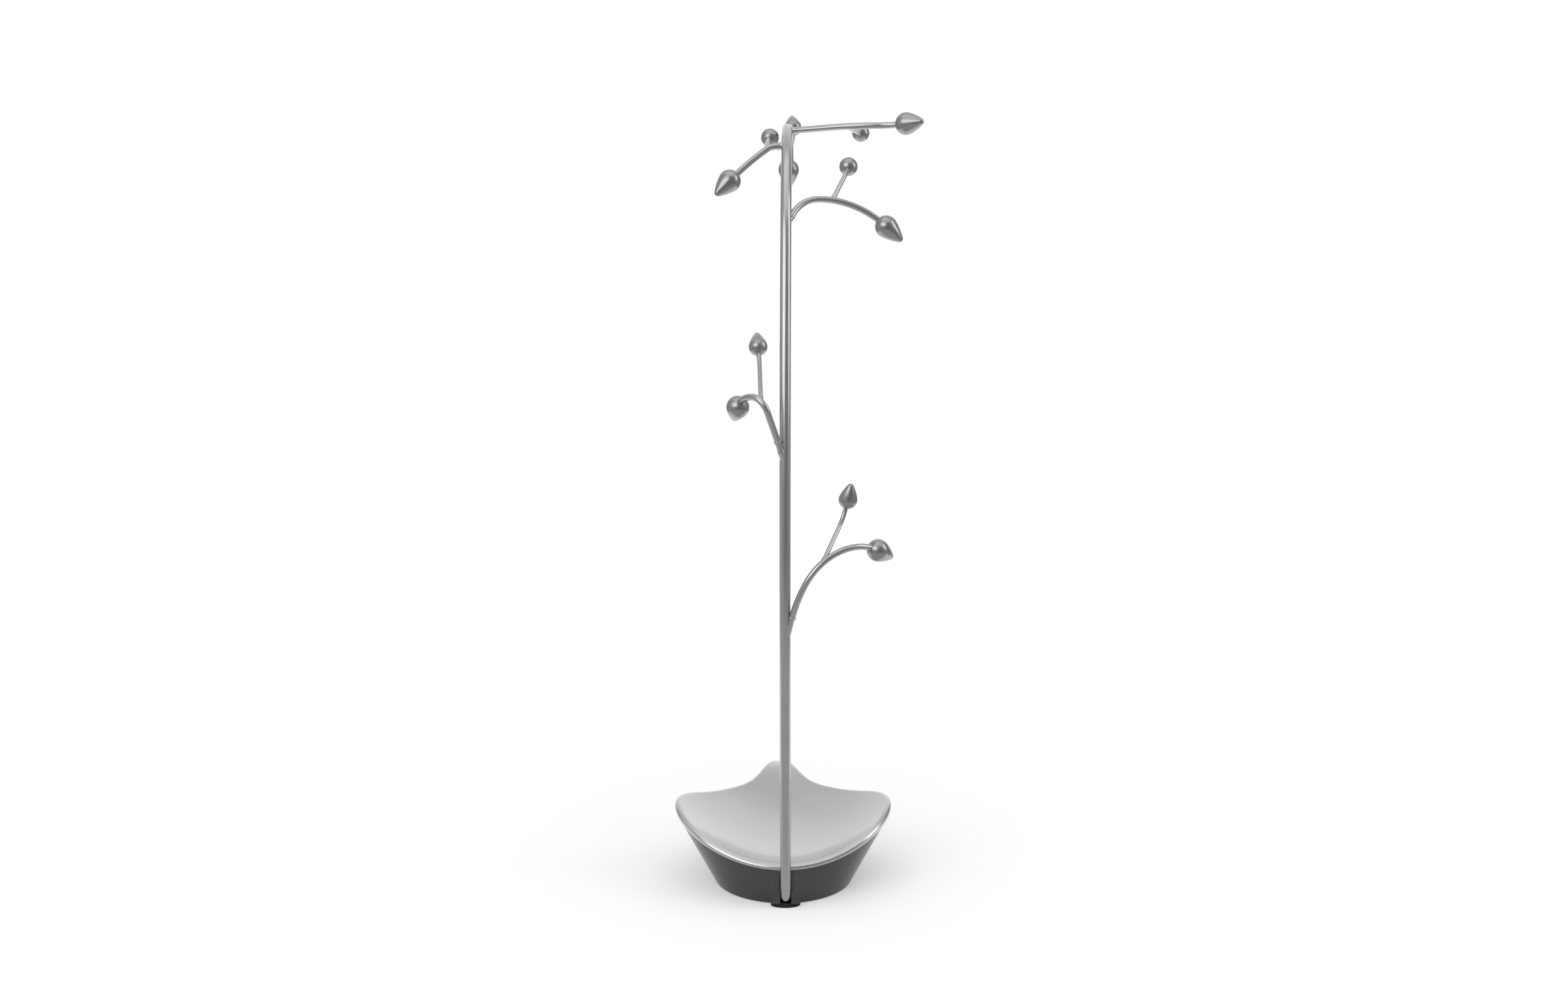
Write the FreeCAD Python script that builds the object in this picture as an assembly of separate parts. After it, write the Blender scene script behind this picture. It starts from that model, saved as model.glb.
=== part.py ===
import FreeCAD, Part
import math
import os

from FreeCAD import Vector as V

os.makedirs("parts", exist_ok=True)

# Frame: millimetres, +Z up, the underside of the pad at Z = 0, the stem at the front (-Y),
# the dish reaching back (+Y). Angles are in degrees.

# rods
STEM_D = 6.0
BRANCH_D = 3.6
TWIG_D = 2.5

# stem: leans forward at the foot, bows back, arches over the dish and droops behind
STEM_FOOT_Y = -53.0
STEM_FOOT_Z = 3.0
STEM_DOME = 4.2
STEM_LEAN = 11.0
STEM_SWING = 2.5
STEM_FOOT_RUN = 40.0
STEM_BOW_R = 900.0
STEM_BACK_R = 480.0
STEM_BACK_TURN = 20.0
STEM_ARCH_R = 88.0
STEM_DROOP_R = 34.0
STEM_DROOP_TURN = 60.0
STEM_TAIL = 5.0

# buds: ball, tangent cone, rounded tip
BUD_D = 12.4
BUD_REACH = 11.8
BUD_TIP_R = 1.3
SMALL_BUD_D = 10.3
SMALL_BUD_REACH = 9.8
SMALL_BUD_TIP_R = 1.1
BUD_STOP = 1.0
BUD_SINK = 0.8
PIN_SHARE = 0.55

# brazed joints
STUB_ROOT_D = 4.4
STUB_END_D = 3.0
SPIGOT_D = 2.0
SPIGOT_L = 3.5
COLLAR_D = 4.2
COLLAR_L = 1.5
TENON_D = 1.5
TWIG_COLLAR_D = 3.0
TWIG_COLLAR_L = 1.2
FIT_GAP = 0.05
END_GAP = 0.2

# hull of the base: outline at the floor and at the rim of the dish
FLOOR_FRONT = -49.5
FLOOR_BACK = 58.0
FLOOR_HALF_W = 40.5
FLOOR_WIDE_Y = -4.0
FLOOR_ROUND = 0.75
FLOOR_TIP_R = 14.0
FLOOR_TIP_TURN = 44.0
RIM_FRONT = -52.7
RIM_BACK = 88.0
RIM_HALF_W = 63.0
RIM_WIDE_Y = -2.0
RIM_PINCH = 1.45
RIM_TIP_R = 6.0
RIM_TIP_TURN = 29.0

# dish: height along the centre line, and how far the wings rise above it
DISH_FRONT_Z = 25.0
DISH_LOW_Z = 17.0
DISH_LOW_Y = -15.0
DISH_TIP_Z = 41.5
DISH_TIP_FLIP = 3.0
DISH_BACK_LIFT = 0.55
WING_RISE = 29.0
TRAY_T = 3.6
TRAY_LIP = 0.8
RIM_TOP_R = 1.5
RIM_UNDER_R = 0.6

# base shell
SHELL_WALL = 2.4
SHELL_TOP = 2.2
SHELL_Z = 0.6

# nose that holds the stem: half width, reach in front of the rim and height of each section
NOSE_SECTIONS = ((8.4, 2.7, 2.4), (6.5, 2.0, 8.5), (5.3, 0.7, 22.0))
NOSE_DEPTH = 9.0
NOSE_EDGE_R = 1.1
SLOT_GAP = 0.1
SLOT_FLOOR = 1.0

# parts inside and below
PAD_T = 1.0
PAD_INSET = 3.0
COVER_T = 3.0
COVER_GAP = 0.3
BALLAST_T = 5.0
BALLAST_GAP = 1.2

# screws
COVER_SCREW_D = 3.0
COVER_SCREW_L = 11.0
COVER_HEAD_D = 5.6
COVER_BOSS_D = 8.0
COVER_SCREWS = ((25.0, -22.0), (-25.0, -22.0), (21.0, 24.0), (-21.0, 24.0))
TRAY_SCREW_D = 2.4
TRAY_HEAD_D = 4.6
TRAY_HEAD_T = 1.8
TRAY_BITE = 2.4
TRAY_PAD_D = 7.0
TRAY_PAD_T = 3.0
TRAY_SCREWS = ((36.0, -8.0), (-36.0, -8.0), (0.0, 38.0))
STEM_SCREW_D = 2.6
STEM_HEAD_D = 5.0
STEM_HEAD_T = 2.0
STEM_SCREW_AT = 8.5
STEM_BITE = 3.6
STEM_PAD_T = 4.2
STEM_PAD_D = 7.0

# branches: length down the stem from its crest to the seat, swing round Z, tilt of the bend
# plane, climb at the root, length of the stub on the stem, then runs of (length, turn)
BRANCHES = {
    "lower_right": (331.1, 29, -17, 82, 13.5, ((17.5, 0), (17.5, -15), (51.0, -94))),
    "mid_left": (234.5, 125, 24, 92, 12.0, ((30.5, 0), (12.5, -90), (20.5, -47))),
    "upper_right": (106.1, 20, 22, 52, 5.5, ((9.5, 0), (18.0, -51), (42.0, -47))),
    "top_right": (21.3, -2, 95, -26, 5.5, ((27.0, 0), (27.5, 24), (16.5, -40))),
    "top_left": (46.6, 198, -12, -8, 4.5, ((8.5, 0), (4.0, -26), (29.0, -9))),
}

# twigs: place along the branch, swing, tilt, climb, then runs of (length, turn)
TWIGS = {
    "lower_right": (49.0, 72, -15, 45, ((24.0, 0), (17.0, 60))),
    "mid_left": (37.0, 82, 13, 34, ((30.0, 0), (16.5, 13))),
    "upper_right": (35.5, 95, -32, 54, ((18.5, 0), (13.0, -34))),
    "top_right": (36.5, 78, 15, 0, ((50.0, 0), (10.0, 9))),
    "top_left": (12.0, 81, 17, 22, ((7.0, 0), (24.0, -15))),
    "rear": (14.5, 67, 23, 23, ((7.0, 0), (21.0, 29))),
}

Z = V(0, 0, 1)

# walls are drawn up to the height of the wings and then cut along the dish
hull_top = DISH_LOW_Z + WING_RISE


def rad(degrees):
    return math.radians(degrees)


def put(shape, point, direction):
    """Move a shape drawn along +Z at the origin to a point and a direction."""
    out = shape.copy()
    out.Placement = FreeCAD.Placement(point, FreeCAD.Rotation(Z, direction))
    return out


def save(name, shape):
    shape.exportStep("parts/" + name + ".step")


class Bend:
    """Centre line of a rod: straight and round runs in one tilted plane."""

    def __init__(self, start, swing, tilt, climb, runs):
        self.start = start
        self.ahead = V(math.cos(rad(swing)), math.sin(rad(swing)), 0)
        self.side = Z * math.cos(rad(tilt)) + Z.cross(self.ahead) * math.sin(rad(tilt))
        self.climb = climb
        self.runs = runs
        self.length = sum(length for length, turn in runs)

    def heading(self, angle):
        return self.ahead * math.cos(rad(angle)) + self.side * math.sin(rad(angle))

    def walk(self, point, angle, length, turn):
        if abs(turn) < 1e-9:
            return point + self.heading(angle) * length, angle
        radius = length / rad(turn)
        centre = point + self.heading(angle + 90) * radius
        return centre - self.heading(angle + turn + 90) * radius, angle + turn

    def at(self, place):
        """Point and direction at a length along the centre line."""
        point, angle = self.start, self.climb
        left = place
        for length, turn in self.runs:
            if left <= length:
                part = left / length
                point, angle = self.walk(point, angle, left, turn * part)
                return point, self.heading(angle)
            point, angle = self.walk(point, angle, length, turn)
            left -= length
        return point, self.heading(angle)

    def rod(self, diameter, begin, end):
        """Round rod along the centre line between two places."""
        edges = []
        done = 0.0
        for length, turn in self.runs:
            a = max(begin, done)
            b = min(end, done + length)
            if b - a > 1e-6:
                p = self.at(a)[0]
                q = self.at(b)[0]
                if abs(turn) < 1e-9:
                    edges.append(Part.makeLine(p, q))
                else:
                    edges.append(Part.Arc(p, self.at((a + b) / 2)[0], q).toShape())
            done += length
        point, direction = self.at(begin)
        section = Part.Wire(Part.makeCircle(diameter / 2, point, direction))
        return Part.Wire(edges).makePipeShell([section], True, False)


def revolved(points, arcs):
    """Solid of revolution round Z. points are (radius, height); arcs maps a span to its middle."""
    edges = []
    for i, (a, b) in enumerate(zip(points, points[1:] + points[:1])):
        p, q = V(a[0], 0, a[1]), V(b[0], 0, b[1])
        if i in arcs:
            m = arcs[i]
            edges.append(Part.Arc(p, V(m[0], 0, m[1]), q).toShape())
        else:
            edges.append(Part.makeLine(p, q))
    return Part.Face(Part.Wire(edges)).revolve(V(0, 0, 0), Z, 360)


def bud(diameter, reach, tip_r):
    """Drop with a ball at the origin and its tip along +Z."""
    r = diameter / 2
    lean = math.asin((r - tip_r) / (reach - tip_r))
    cs, sn = math.cos(lean), math.sin(lean)
    low = rad(-30)
    high = (lean + math.pi / 2) / 2
    tip = reach - tip_r
    return revolved(
        [(0, -r), (r * cs, r * sn), (tip_r * cs, tip + tip_r * sn), (0, reach)],
        {
            0: (r * math.cos(low), r * math.sin(low)),
            2: (tip_r * math.cos(high), tip + tip_r * math.sin(high)),
        },
    )


def rod_stop(path, rod_d, bud_d):
    """Place where a rod ends, a little way into the ball of its bud."""
    return path.length - math.sqrt(bud_d ** 2 - rod_d ** 2) / 2 + BUD_SINK


def end_pin(path, rod_d, grow, gap):
    """Thin straight end of a rod inside its bud."""
    point, direction = path.at(path.length)
    pin = Part.makeCylinder(PIN_SHARE * rod_d / 2 + grow, BUD_D / 2 - BUD_STOP + gap, V(0, 0, -BUD_D / 2))
    return put(pin, point, direction)


def ended_rod(path, rod_d, bud_d, begin):
    """Rod from a place to its bud, with its pin."""
    stop = rod_stop(path, rod_d, bud_d)
    inside = path.rod(rod_d, begin, stop)
    pin = end_pin(path, rod_d, 0, 0)
    ball = Part.makeSphere(bud_d / 2 - BUD_SINK / 4, path.at(path.length)[0])
    return inside.fuse(pin.common(ball))


# stem
stem_turn = 90 - STEM_BACK_TURN
stem_path = Bend(
    V(0, STEM_FOOT_Y, STEM_FOOT_Z),
    90 - STEM_SWING,
    0,
    90 + STEM_LEAN,
    (
        (STEM_FOOT_RUN, 0),
        (STEM_BOW_R * rad(STEM_LEAN), -STEM_LEAN),
        (STEM_BACK_R * rad(STEM_BACK_TURN), -STEM_BACK_TURN),
        (STEM_ARCH_R * rad(stem_turn), -stem_turn),
        (STEM_DROOP_R * rad(STEM_DROOP_TURN), -STEM_DROOP_TURN),
        (STEM_TAIL, 0),
    ),
)
stem_crest = stem_path.length - STEM_TAIL - STEM_DROOP_R * rad(STEM_DROOP_TURN)
stem_end = rod_stop(stem_path, STEM_D, BUD_D)


def dome(grow):
    """Bullet end of the stem, drawn along +Z with its tip at the origin."""
    r = STEM_D / 2 + grow
    tall = STEM_DOME + grow
    steps = 6
    points = []
    for i in range(steps + 1):
        a = math.pi / 2 * i / steps
        points.append(V(r * math.sin(a), 0, STEM_DOME - tall * math.cos(a)))
    curve = Part.BSplineCurve()
    curve.interpolate(Points=points, InitialTangent=V(1, 0, 0), FinalTangent=Z)
    edges = [
        curve.toShape(),
        Part.makeLine(points[-1], V(0, 0, STEM_DOME)),
        Part.makeLine(V(0, 0, STEM_DOME), points[0]),
    ]
    return Part.Face(Part.Wire(edges)).revolve(V(0, 0, 0), Z, 360)


def stem_rod(grow):
    """The plain rod of the stem, with its bullet end."""
    rod = stem_path.rod(STEM_D + 2 * grow, STEM_DOME, stem_end)
    point, direction = stem_path.at(0)
    return rod.fuse(put(dome(grow), point, direction))


def bar(path, diameter, begin, end):
    """Straight pin along the tangent of a path, from one place to another."""
    point, direction = path.at(0)
    pin = Part.makeCylinder(diameter / 2, end - begin, V(0, 0, begin))
    return put(pin, point, direction)


def seat_reach(path, direction, diameter):
    """Length of a crossing rod that is still inside the rod it grows from."""
    across = path.at(0)[1].cross(direction).Length
    return diameter / 2 / max(across, 0.3)


branch_paths = {}
for name, (down, swing, tilt, climb, stub, runs) in BRANCHES.items():
    seat = stem_path.at(stem_crest - down)[0]
    branch_paths[name] = Bend(seat, swing, tilt, climb, runs)

twig_paths = {}
twig_roots = {}
for name, (place, swing, tilt, climb, runs) in TWIGS.items():
    if name == "rear":
        parent, parent_d, place = stem_path, STEM_D, stem_path.length - place
    else:
        parent, parent_d = branch_paths[name], BRANCH_D
    root, along = parent.at(place)
    twig_paths[name] = Bend(root, swing, tilt, climb, runs)
    twig_roots[name] = seat_reach(twig_paths[name], along, parent_d)


def tenon_hole(name):
    return bar(twig_paths[name], TENON_D + 2 * FIT_GAP, 0, twig_roots[name] + TWIG_COLLAR_L)


def build_stem():
    adds = []
    for name, path in branch_paths.items():
        stub = BRANCHES[name][4]
        point, direction = path.at(0)
        adds.append(put(Part.makeCone(STUB_ROOT_D / 2, STUB_END_D / 2, stub), point, direction))
        adds.append(bar(path, SPIGOT_D, stub / 2, stub + SPIGOT_L))
    adds.append(end_pin(stem_path, STEM_D, 0, 0))
    body = stem_rod(0).multiFuse(adds)
    hole = Part.makeCylinder(STEM_SCREW_D / 2 + FIT_GAP, STEM_D, V(0, 0, STEM_D / 2 - STEM_BITE - END_GAP))
    point, inward = stem_screw_line()
    body = body.cut([tenon_hole("rear"), put(hole, point, inward)])
    return body.removeSplitter()


def build_branch(name):
    path = branch_paths[name]
    stub = BRANCHES[name][4]
    body = ended_rod(path, BRANCH_D, BUD_D, stub)
    body = body.fuse(bar(path, COLLAR_D, stub, stub + COLLAR_L))
    socket = bar(path, SPIGOT_D + 2 * FIT_GAP, stub - 1, stub + SPIGOT_L + END_GAP)
    body = body.cut([stem_rod(FIT_GAP), socket, tenon_hole(name)])
    return body.removeSplitter()


def build_twig(name):
    path = twig_paths[name]
    reach = twig_roots[name]
    body = ended_rod(path, TWIG_D, SMALL_BUD_D, 0)
    body = body.fuse(bar(path, TWIG_COLLAR_D, 0, reach + TWIG_COLLAR_L))
    if name == "rear":
        around = stem_rod(FIT_GAP)
    else:
        parent = branch_paths[name]
        around = parent.rod(BRANCH_D + 2 * FIT_GAP, BRANCHES[name][4], parent.length)
    body = body.cut(around)
    body = max(body.Solids, key=lambda solid: solid.Volume)
    return body.fuse(bar(path, TENON_D, END_GAP, reach + TWIG_COLLAR_L)).removeSplitter()


def build_bud(path, large, rod_d):
    if large:
        bud_d, shape = BUD_D, bud(BUD_D, BUD_REACH, BUD_TIP_R)
    else:
        bud_d, shape = SMALL_BUD_D, bud(SMALL_BUD_D, SMALL_BUD_REACH, SMALL_BUD_TIP_R)
    point, direction = path.at(path.length)
    stop = rod_stop(path, rod_d, bud_d)
    seat = path.rod(rod_d + 2 * FIT_GAP, path.length - bud_d, stop + FIT_GAP)
    return put(shape, point, direction).cut([seat, end_pin(path, rod_d, FIT_GAP, END_GAP)])


def stem_screw_line():
    """Middle of the stem at its screw, and the direction into the base."""
    point, along = stem_path.at(STEM_SCREW_AT)
    return point, along.cross(V(1, 0, 0)).normalize()


# hull and dish
FRONT_STEPS = 4
BACK_PLACES = (0.0, 0.2, 0.4, 0.58, 0.74)


def outline(front, back, half_w, wide_y, power, tip_r, tip_turn):
    """Right half of an outline as (x, y), from the front to its round tip, and the tip."""
    side = []
    for i in range(FRONT_STEPS):
        u = math.pi / 2 * i / FRONT_STEPS
        side.append((half_w * math.sin(u), wide_y - (wide_y - front) * math.cos(u)))
    for v in BACK_PLACES:
        x = half_w * math.cos(math.pi / 2 * v) ** power
        side.append((x, wide_y + (back - wide_y) * v))
    turn = rad(tip_turn)
    side.append((tip_r * math.cos(turn), back - tip_r + tip_r * math.sin(turn)))
    return side, (0.0, back), tip_turn


def grown(line, by):
    """The outline moved outward by a length, point by point."""
    side, tip, tip_turn = line
    around = [(-side[1][0], side[1][1])] + side + [tip]
    out = [(0.0, side[0][1] - by)]
    for (ax, ay), (x, y), (bx, b_y) in list(zip(around, around[1:], around[2:]))[1:-1]:
        long = math.hypot(bx - ax, b_y - ay)
        out.append((x + by * (b_y - ay) / long, y - by * (bx - ax) / long))
    turn = rad(tip_turn)
    x, y = side[-1]
    out.append((x + by * math.cos(turn), y + by * math.sin(turn)))
    return out, (0.0, tip[1] + by), tip_turn


def closed_wire(side, tip, tip_turn):
    """Outline of a right edge, a round tip and a left edge."""
    places = [0.0]
    for (ax, ay), (bx, by) in zip(rim_line[0], rim_line[0][1:]):
        places.append(places[-1] + math.hypot(bx - ax, by - ay))
    turn = rad(tip_turn)
    curve = Part.BSplineCurve()
    curve.interpolate(
        Points=side,
        Parameters=places,
        InitialTangent=V(1, 0, 0),
        FinalTangent=V(-math.sin(turn), math.cos(turn), 0),
    )
    right = curve.toShape()
    end = side[-1]
    arc = Part.Arc(end, tip, V(-end.x, end.y, end.z)).toShape()
    return Part.Wire([right, arc, right.mirror(V(0, 0, 0), V(1, 0, 0))])


def dish_z(x, y):
    """Height of the upper face of the dish."""
    if y < DISH_LOW_Y:
        w = (DISH_LOW_Y - y) / (DISH_LOW_Y - RIM_FRONT)
        middle = DISH_LOW_Z + (DISH_FRONT_Z - DISH_LOW_Z) * w * w
    else:
        w = min((y - DISH_LOW_Y) / (RIM_BACK - DISH_LOW_Y), 1.05)
        lift = w * w * (1 + (DISH_BACK_LIFT + DISH_TIP_FLIP * w ** 4) * (1 - w))
        middle = DISH_LOW_Z + (DISH_TIP_Z - DISH_LOW_Z) * lift
    return middle + WING_RISE * (x / RIM_HALF_W) ** 2


def under_z(x, y, depth):
    """Height of a face that lies a depth under the dish, measured square to it."""
    step = 0.5
    sx = (dish_z(x + step, y) - dish_z(x - step, y)) / (2 * step)
    sy = (dish_z(x, y + step) - dish_z(x, y - step)) / (2 * step)
    return dish_z(x, y) - depth * math.sqrt(1 + sx * sx + sy * sy)


DISH_NX = 13
DISH_NY = 17
DISH_SPARE = 14.0


def above(depth):
    """Everything above the face that lies a depth under the dish."""
    x0 = -RIM_HALF_W - DISH_SPARE
    y0 = RIM_FRONT - DISH_SPARE
    dx = -2 * x0 / (DISH_NX - 1)
    dy = (RIM_BACK + DISH_SPARE - y0) / (DISH_NY - 1)
    heights = []
    for i in range(DISH_NX):
        heights.append([under_z(x0 + i * dx, y0 + j * dy, depth) for j in range(DISH_NY)])
    face = Part.BSplineSurface()
    face.interpolate(heights, x0, dx, y0, dy)
    return face.toShape().extrude(V(0, 0, 3 * hull_top))


floor_line = outline(
    FLOOR_FRONT, FLOOR_BACK, FLOOR_HALF_W, FLOOR_WIDE_Y, FLOOR_ROUND, FLOOR_TIP_R, FLOOR_TIP_TURN
)
rim_line = outline(RIM_FRONT, RIM_BACK, RIM_HALF_W, RIM_WIDE_Y, RIM_PINCH, RIM_TIP_R, RIM_TIP_TURN)


def hull(grow, low_z, high_z):
    """Body with straight walls, on their way from the floor outline to the rim of the dish."""
    low, low_tip, low_turn = grown(floor_line, grow)
    rim, rim_tip, rim_turn = grown(rim_line, grow)
    wires = []
    for z in (low_z, high_z):
        points = []
        for (ax, ay), (bx, by), (x, y) in zip(low, rim, rim_line[0]):
            k = z / under_z(x, y, TRAY_T)
            points.append(V(ax + (bx - ax) * k, ay + (by - ay) * k, z))
        tip = V(0, low_tip[1] + (rim_tip[1] - low_tip[1]) * k, z)
        wires.append(closed_wire(points, tip, low_turn + (rim_turn - low_turn) * k))
    return Part.makeLoft(wires, True, True)


def prism(grow):
    """Upright body with the outline of the rim."""
    rim, tip, tip_turn = grown(rim_line, grow)
    wire = closed_wire([V(x, y, 0) for x, y in rim], V(tip[0], tip[1], 0), tip_turn)
    return Part.Face(wire).extrude(V(0, 0, 2 * hull_top))


def rim_edges(body, depth):
    """Long edges of a body that lie a depth under the dish."""
    found = []
    for edge in body.Edges:
        p = edge.valueAt((edge.FirstParameter + edge.LastParameter) / 2)
        if edge.Length > RIM_TIP_R and abs(p.z - under_z(p.x, p.y, depth)) < TRAY_T / 6:
            found.append(edge)
    return found


def tray_screw_z(x, y):
    """Heights of a tray screw: its seat, the underside of the tray and its end."""
    low = under_z(x, y, TRAY_T)
    return low - SHELL_TOP - TRAY_PAD_T, low, low + TRAY_BITE


def build_tray():
    body = prism(TRAY_LIP).common(above(TRAY_T)).cut(above(0))
    body = body.makeFillet(RIM_TOP_R, rim_edges(body, 0))
    body = body.makeFillet(RIM_UNDER_R, rim_edges(body, TRAY_T))
    for x, y in TRAY_SCREWS:
        seat, low, high = tray_screw_z(x, y)
        r = TRAY_SCREW_D / 2 + FIT_GAP
        body = body.cut(Part.makeCylinder(r, high + END_GAP - seat, V(x, y, seat)))
    return body


def nose():
    """Flared foot at the front that holds the stem, clear of the floor."""
    wires = []
    for half_w, reach, z in NOSE_SECTIONS:
        front = RIM_FRONT - reach
        back = RIM_FRONT + NOSE_DEPTH
        r = NOSE_EDGE_R
        k = r * (1 - math.sqrt(0.5))
        side_end = front + r
        bend = front + k
        edges = [
            Part.makeLine(V(half_w, back, z), V(half_w, side_end, z)),
            Part.Arc(V(half_w, side_end, z), V(half_w - k, bend, z), V(half_w - r, front, z)).toShape(),
            Part.makeLine(V(half_w - r, front, z), V(r - half_w, front, z)),
            Part.Arc(V(r - half_w, front, z), V(k - half_w, bend, z), V(-half_w, side_end, z)).toShape(),
            Part.makeLine(V(-half_w, side_end, z), V(-half_w, back, z)),
            Part.makeLine(V(-half_w, back, z), V(half_w, back, z)),
        ]
        wires.append(Part.Wire(edges))
    return Part.makeLoft(wires, True, False)


def slot():
    """Channel for the stem, open to the front."""
    r = STEM_D / 2 + SLOT_GAP
    tall = STEM_FOOT_RUN
    channel = Part.makeCylinder(r, tall, V(0, 0, -SLOT_FLOOR))
    way_out = Part.makeBox(2 * r, 4 * STEM_D, tall, V(-r, -4 * STEM_D, -SLOT_FLOOR))
    point, direction = stem_path.at(0)
    return put(channel.fuse(way_out), point, direction)


cover_top = PAD_T + COVER_T


def build_shell():
    outer = hull(0, SHELL_Z, hull_top).fuse(nose()).cut(above(TRAY_T))
    body = outer.cut(hull(-SHELL_WALL, 0, hull_top).cut(above(TRAY_T + SHELL_TOP)))
    adds = []
    holes = [slot()]
    for x, y in COVER_SCREWS:
        adds.append(Part.makeCylinder(COVER_BOSS_D / 2, hull_top, V(x, y, cover_top)))
        deep = COVER_SCREW_L + END_GAP
        holes.append(Part.makeCylinder(COVER_SCREW_D / 2 + FIT_GAP, deep, V(x, y, PAD_T)))
    for x, y in TRAY_SCREWS:
        seat, low, high = tray_screw_z(x, y)
        adds.append(Part.makeCylinder(TRAY_PAD_D / 2, hull_top, V(x, y, seat)))
        holes.append(Part.makeCylinder(TRAY_SCREW_D / 2 + 2 * FIT_GAP, hull_top, V(x, y, seat)))
    point, inward = stem_screw_line()
    r = STEM_D / 2 + SLOT_GAP
    adds.append(put(Part.makeCylinder(STEM_PAD_D / 2, STEM_PAD_T, V(0, 0, r)), point, inward))
    reach = r + STEM_PAD_T
    holes.append(put(Part.makeCylinder(STEM_SCREW_D / 2 + 2 * FIT_GAP, reach), point, inward))
    for add in adds:
        body = body.fuse(add.common(outer))
    for hole in holes:
        body = body.cut(hole)
    return body.removeSplitter()


def hexagon(across, deep, top):
    """Key socket, cut down from a height."""
    points = [V(across / math.sqrt(3), 0, 0)]
    spin = FreeCAD.Rotation(Z, 60)
    for _ in range(6):
        points.append(spin.multVec(points[-1]))
    socket = Part.Face(Part.makePolygon(points[:6] + points[:1])).extrude(V(0, 0, deep))
    socket.translate(V(0, 0, top - deep))
    return socket


def pan_screw(diameter, length, head_d, head_t):
    """Screw along +Z from its point at 0, the head on top."""
    r, h = diameter / 2, head_d / 2
    point = r / 3
    top = length + head_t
    body = revolved([(0, 0), (r - point, 0), (r, point), (r, length), (h, length), (h, top), (0, top)], {})
    return body.cut(hexagon(diameter * 0.8, head_t * 0.6, top))


def flat_screw(diameter, length, head_d):
    """Countersunk screw along +Z from its flat head at 0."""
    r, h = diameter / 2, head_d / 2
    point = r / 3
    body = revolved([(0, 0), (h, 0), (r, h - r), (r, length - point), (r - point, length), (0, length)], {})
    return body.cut(hexagon(diameter * 0.7, h - r, h - r))


def build_cover():
    body = hull(-SHELL_WALL - COVER_GAP, PAD_T, cover_top)
    r, h = COVER_SCREW_D / 2 + FIT_GAP, COVER_HEAD_D / 2 + FIT_GAP
    for x, y in COVER_SCREWS:
        body = body.cut(Part.makeCylinder(r, COVER_T, V(x, y, PAD_T)))
        body = body.cut(Part.makeCone(h, r, h - r, V(x, y, PAD_T)))
    return body


def build_ballast():
    body = hull(-SHELL_WALL - BALLAST_GAP, cover_top, cover_top + BALLAST_T)
    for x, y in COVER_SCREWS:
        body = body.cut(Part.makeCylinder(COVER_BOSS_D / 2 + BALLAST_GAP, 2 * BALLAST_T, V(x, y, cover_top)))
    return body


def build_pad():
    return hull(-SHELL_WALL - PAD_INSET, 0, PAD_T)


def cover_screws():
    screw = flat_screw(COVER_SCREW_D, COVER_SCREW_L, COVER_HEAD_D)
    return Part.makeCompound([put(screw, V(x, y, PAD_T), Z) for x, y in COVER_SCREWS])


def tray_screws():
    screws = []
    for x, y in TRAY_SCREWS:
        seat, low, high = tray_screw_z(x, y)
        screw = pan_screw(TRAY_SCREW_D, high - seat, TRAY_HEAD_D, TRAY_HEAD_T)
        screws.append(put(screw, V(x, y, high), V(0, 0, -1)))
    return Part.makeCompound(screws)


def stem_screw():
    point, inward = stem_screw_line()
    tip = STEM_D / 2 - STEM_BITE
    seat = STEM_D / 2 + SLOT_GAP + STEM_PAD_T
    screw = pan_screw(STEM_SCREW_D, seat - tip, STEM_HEAD_D, STEM_HEAD_T)
    return put(screw, point + inward * tip, inward)


save("base_shell", build_shell())
save("tray", build_tray())
save("bottom_cover", build_cover())
save("ballast_plate", build_ballast())
save("anti_slip_pad", build_pad())
save("cover_screws", cover_screws())
save("tray_screws", tray_screws())
save("stem_screw", stem_screw())
save("stem", build_stem())
save("stem_bud", build_bud(stem_path, True, STEM_D))
for name, path in branch_paths.items():
    save(name + "_branch", build_branch(name))
    save(name + "_bud", build_bud(path, True, BRANCH_D))
for name, path in twig_paths.items():
    save(name + "_twig", build_twig(name))
    save(name + "_small_bud", build_bud(path, False, TWIG_D))
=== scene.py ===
# %% [markdown]
# # A jewelry tree, dressed for its picture
# The solids of the tree come in as a fixed frame: a stem with branches, twigs and buds, a petal
# dish and a dark base. This lesson remakes each surface that the eye meets as a smooth mesh, gives
# every finish its own nodes, and lights the tree as a studio would.

# %% Load the frame
import math

import bmesh
import bpy
import numpy as np
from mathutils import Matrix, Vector


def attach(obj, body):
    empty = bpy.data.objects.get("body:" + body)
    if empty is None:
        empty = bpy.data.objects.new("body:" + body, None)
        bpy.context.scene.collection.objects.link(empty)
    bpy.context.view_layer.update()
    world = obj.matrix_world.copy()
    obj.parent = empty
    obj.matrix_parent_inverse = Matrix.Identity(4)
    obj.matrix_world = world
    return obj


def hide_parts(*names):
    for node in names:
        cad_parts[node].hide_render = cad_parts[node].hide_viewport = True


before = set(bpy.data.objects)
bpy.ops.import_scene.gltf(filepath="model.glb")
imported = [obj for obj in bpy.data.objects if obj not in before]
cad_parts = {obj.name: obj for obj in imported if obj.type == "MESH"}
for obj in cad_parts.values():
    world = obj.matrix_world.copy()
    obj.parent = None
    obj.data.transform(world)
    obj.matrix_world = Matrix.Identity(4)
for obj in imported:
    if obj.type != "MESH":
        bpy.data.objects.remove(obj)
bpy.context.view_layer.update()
MM = 0.001
print("nodes in the frame:", len(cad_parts))

# %% [markdown]
# ## The camera
# The picture was taken from a little above the dish and slightly to the left, with the whole tree
# upright in a wide frame. A camera is a place, a point to look at and a lens, so those three are
# written down and the turn follows from them.

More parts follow.
